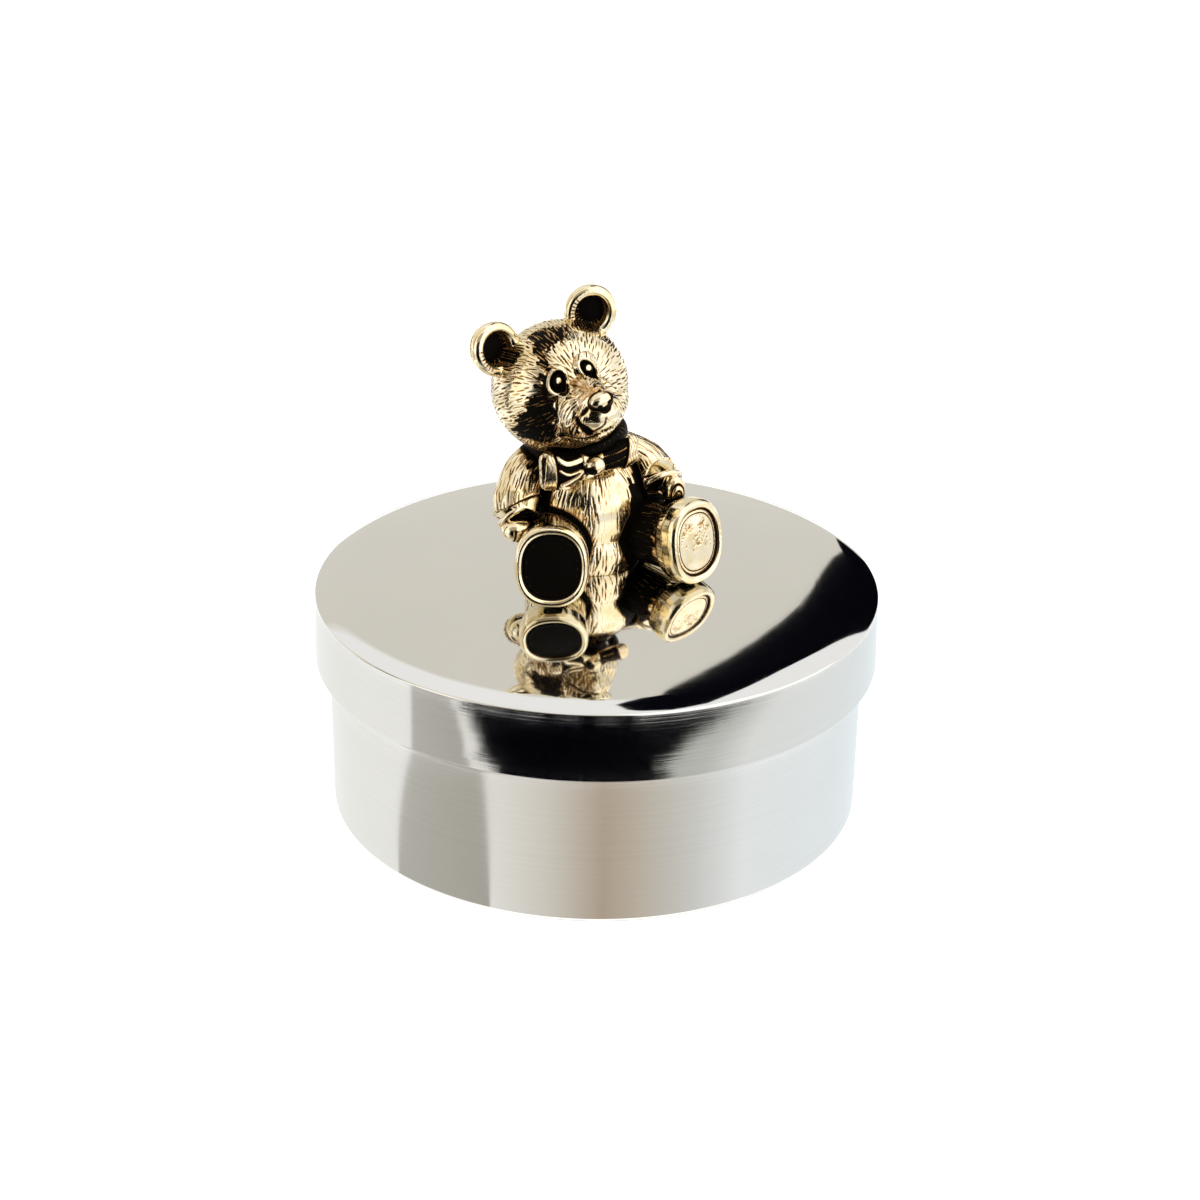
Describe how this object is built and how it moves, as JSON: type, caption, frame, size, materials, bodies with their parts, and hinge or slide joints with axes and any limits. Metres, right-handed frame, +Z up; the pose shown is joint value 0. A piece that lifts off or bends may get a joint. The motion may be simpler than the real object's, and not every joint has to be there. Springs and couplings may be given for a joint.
{
  "type": "keepsake box",
  "caption": "Round polished pewter keepsake box with a shallow domed lift-off lid and a small cast teddy bear sitting on it.",
  "frame": {"origin": "middle of the underside of the base floor, which stands on the table", "axes": "+Z up along the axis of the round box and of the lid's lift; the bear looks along -Y, turned 23 degrees towards +X"},
  "size_m": [0.0724, 0.0724, 0.0692],
  "materials": {
    "pewter": "polished",
    "antique_gold": "gloss",
    "steel": "satin",
    "felt": "matte"
  },
  "bodies": {
    "base": {"base_floor": "pewter", "base_wall": "pewter", "base_lining": "felt"},
    "lid": {"lid_skirt": "pewter", "lid_top": "pewter", "bear_figure": "antique_gold", "bear_washer": "steel", "bear_screw": "steel"}
  },
  "joints": [
    {"name": "lid_lift", "type": "slide", "parent": "base", "child": "lid", "axis": [0, 0, 1], "range_m": [0, 0.06]}
  ]
}
